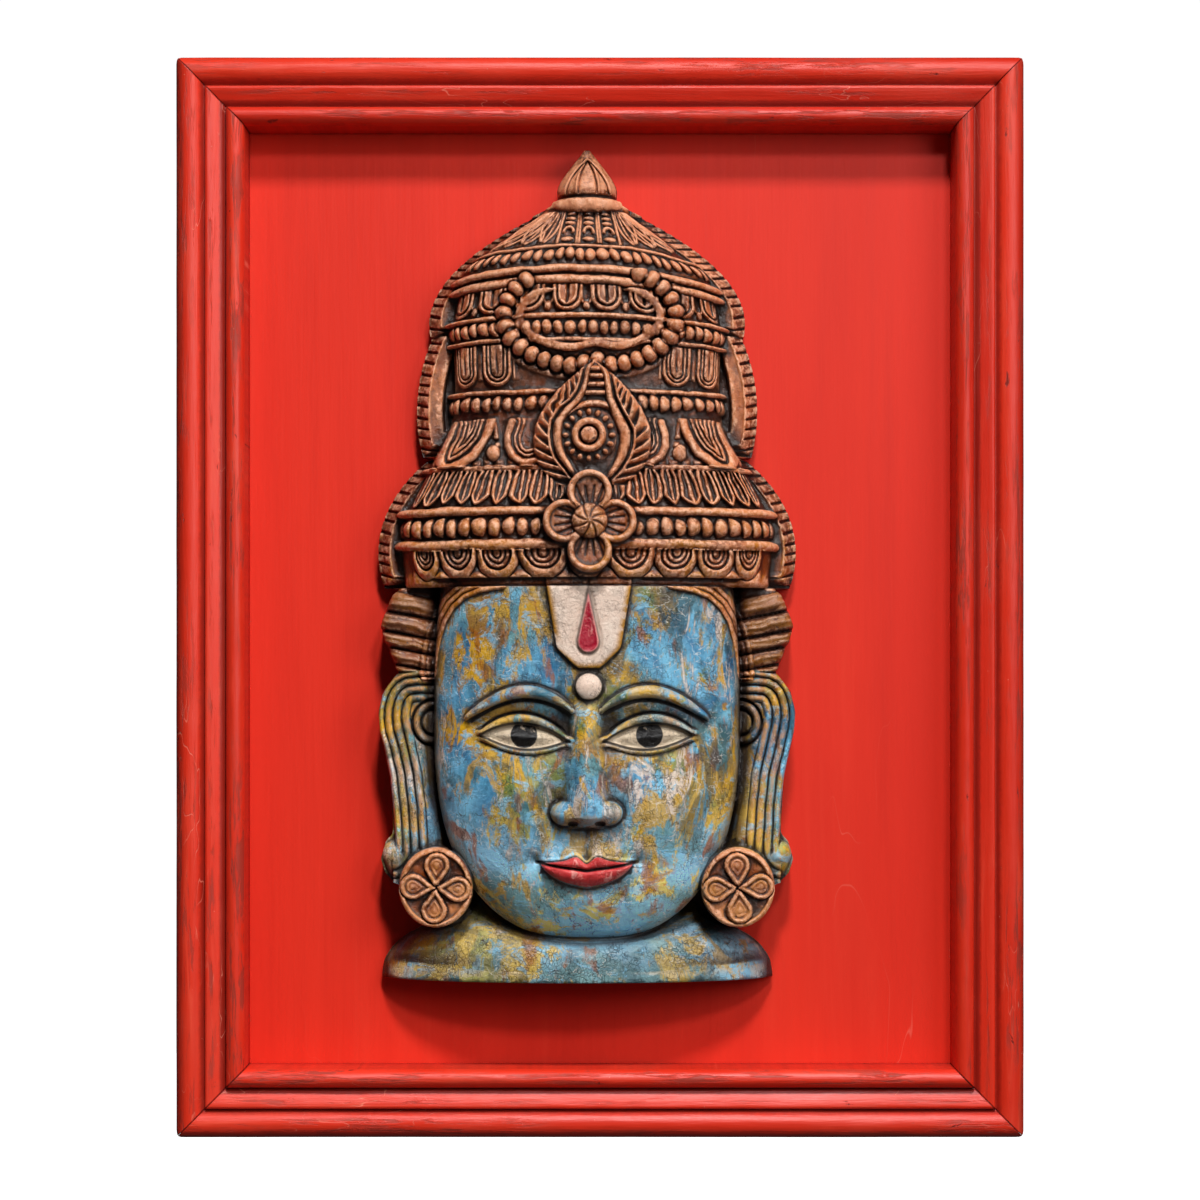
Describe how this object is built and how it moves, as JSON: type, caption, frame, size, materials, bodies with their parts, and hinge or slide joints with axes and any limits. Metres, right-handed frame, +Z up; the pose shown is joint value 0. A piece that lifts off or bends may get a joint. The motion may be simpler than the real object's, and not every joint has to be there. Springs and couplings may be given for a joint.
{
  "type": "wall plaque",
  "caption": "Carved and painted wooden mask of a crowned deity, fixed to a flat red board inside a stepped red wooden frame that hangs on a wall.",
  "frame": {"origin": "middle of the flat back, where the board rests against the wall", "axes": "+Z up the wall, +X to the viewer's right, +Y into the wall"},
  "size_m": [0.62, 0.1073, 0.79],
  "materials": {
    "frame_paint": "worn satin red paint",
    "board_paint": "brushed satin red paint",
    "mask_paint": "distressed paint over stained wood"
  },
  "bodies": {
    "root": {"frame_rail_top": "frame_paint", "frame_rail_bottom": "frame_paint", "frame_rail_left": "frame_paint", "frame_rail_right": "frame_paint", "back_board": "board_paint", "mask": "mask_paint"}
  },
  "joints": []
}
